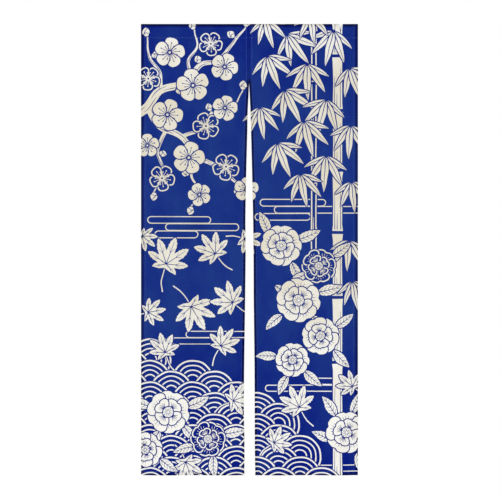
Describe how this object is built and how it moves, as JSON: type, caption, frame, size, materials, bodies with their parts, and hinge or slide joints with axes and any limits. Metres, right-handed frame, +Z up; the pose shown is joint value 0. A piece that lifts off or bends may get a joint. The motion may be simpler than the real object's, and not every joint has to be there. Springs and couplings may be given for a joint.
{
  "type": "noren curtain",
  "caption": "Split doorway curtain of blue cloth with a cream print: hemmed panels hang from a rod pocket and part at a long slit.",
  "frame": {"origin": "middle of the curtain's top edge, on the line that its rod follows", "axes": "+X across the doorway, +Z up, the printed face looks along -Y"},
  "size_m": [0.85, 0.0217, 1.768],
  "materials": {
    "printed_cloth": "matte plain weave"
  },
  "bodies": {
    "root": {"rod_pocket": "printed_cloth", "panel_left": "printed_cloth", "panel_right": "printed_cloth"}
  },
  "joints": []
}
